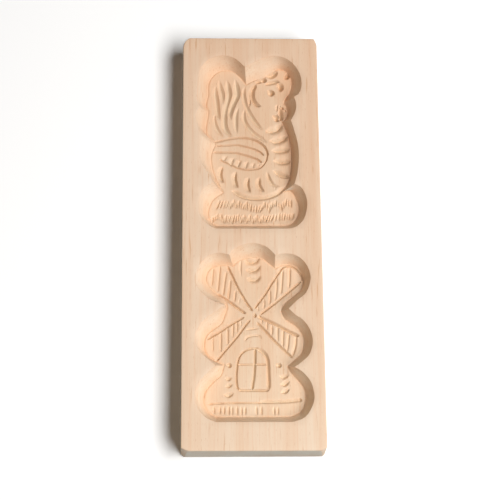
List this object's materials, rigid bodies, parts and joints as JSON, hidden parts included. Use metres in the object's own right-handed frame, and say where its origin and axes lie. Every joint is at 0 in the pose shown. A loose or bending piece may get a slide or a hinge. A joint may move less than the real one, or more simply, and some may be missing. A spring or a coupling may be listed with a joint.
{
  "type": "cookie mould",
  "caption": "Flat wooden board with a rooster and a windmill carved into it as coved hollows with relief floors, for shaping spiced dough.",
  "frame": {"origin": "middle of the board's flat back, which it lies on", "axes": "+Z out of the carved face, +Y along the grain from the windmill to the rooster's comb, +X to the side that the rooster looks to"},
  "size_m": [0.09, 0.28, 0.022],
  "materials": {
    "sanded_beech": "hand sanded, unvarnished pale beech"
  },
  "bodies": {
    "root": {"mould_board": "sanded_beech"}
  },
  "joints": []
}
